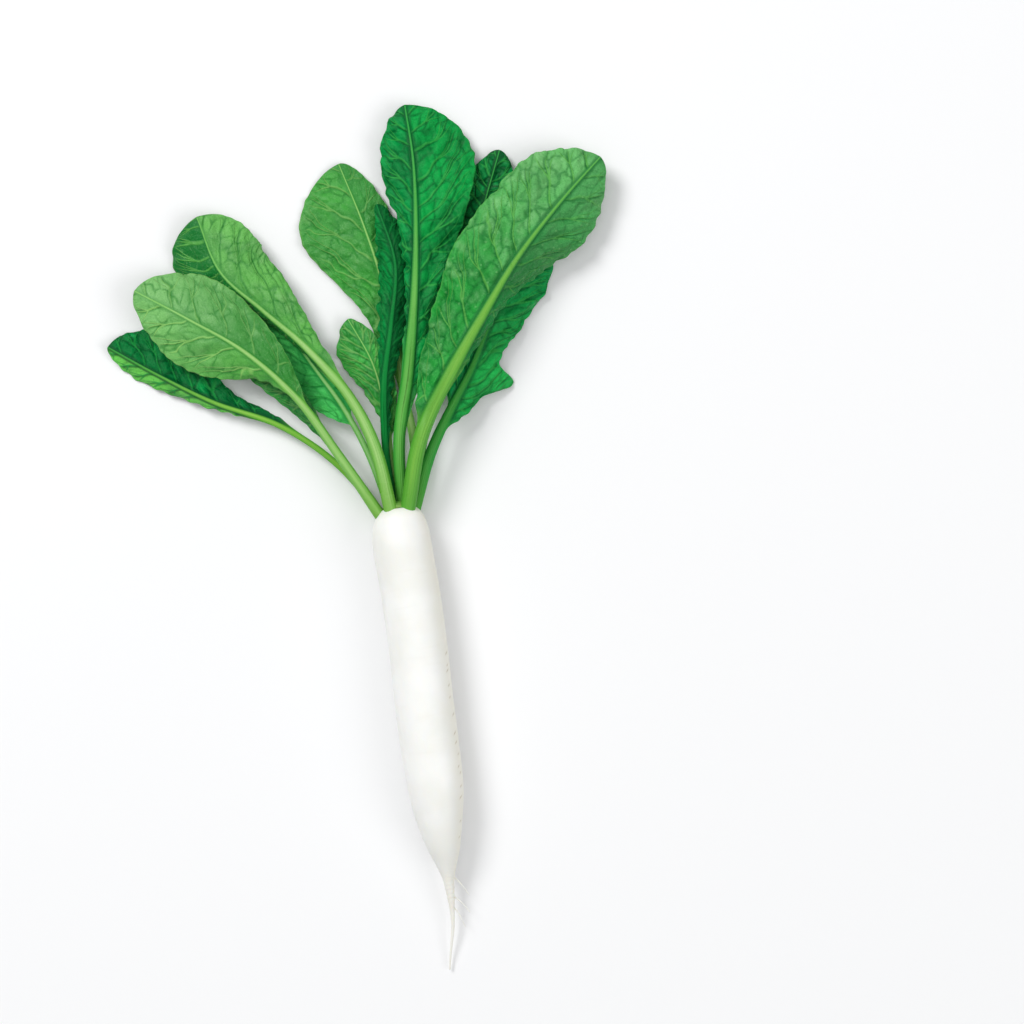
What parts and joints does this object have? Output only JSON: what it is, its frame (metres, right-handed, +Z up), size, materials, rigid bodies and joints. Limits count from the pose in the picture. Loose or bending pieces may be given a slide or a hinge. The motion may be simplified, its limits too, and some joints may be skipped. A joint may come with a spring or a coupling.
{
  "type": "daikon radish",
  "caption": "Long white radish lying on its side, with a thin rooted tail and a fan of stalked green leaves.",
  "frame": {"origin": "middle of the narrow flat underneath the root, on the surface it rests on", "axes": "+Y along the root towards the leaves, -Y towards the thin tail, +Z up, +X to the right when looking down with the leaves at the top"},
  "size_m": [0.3906, 0.6511, 0.0447],
  "materials": {
    "root_flesh": "satin",
    "crown_stem": "satin",
    "leaf_light": "satin",
    "leaf_dark": "satin"
  },
  "bodies": {
    "root": {"root": "root_flesh", "crown": "crown_stem", "leaf_front": "leaf_light", "leaf_under": "leaf_dark", "leaf_second": "leaf_light", "leaf_third": "leaf_dark", "leaf_far_left": "leaf_dark", "leaf_small": "leaf_light", "leaf_tall": "leaf_light", "leaf_narrow": "leaf_dark", "leaf_upright": "leaf_dark", "leaf_broad": "leaf_dark", "leaf_right": "leaf_dark", "leaf_back": "leaf_dark"}
  },
  "joints": []
}
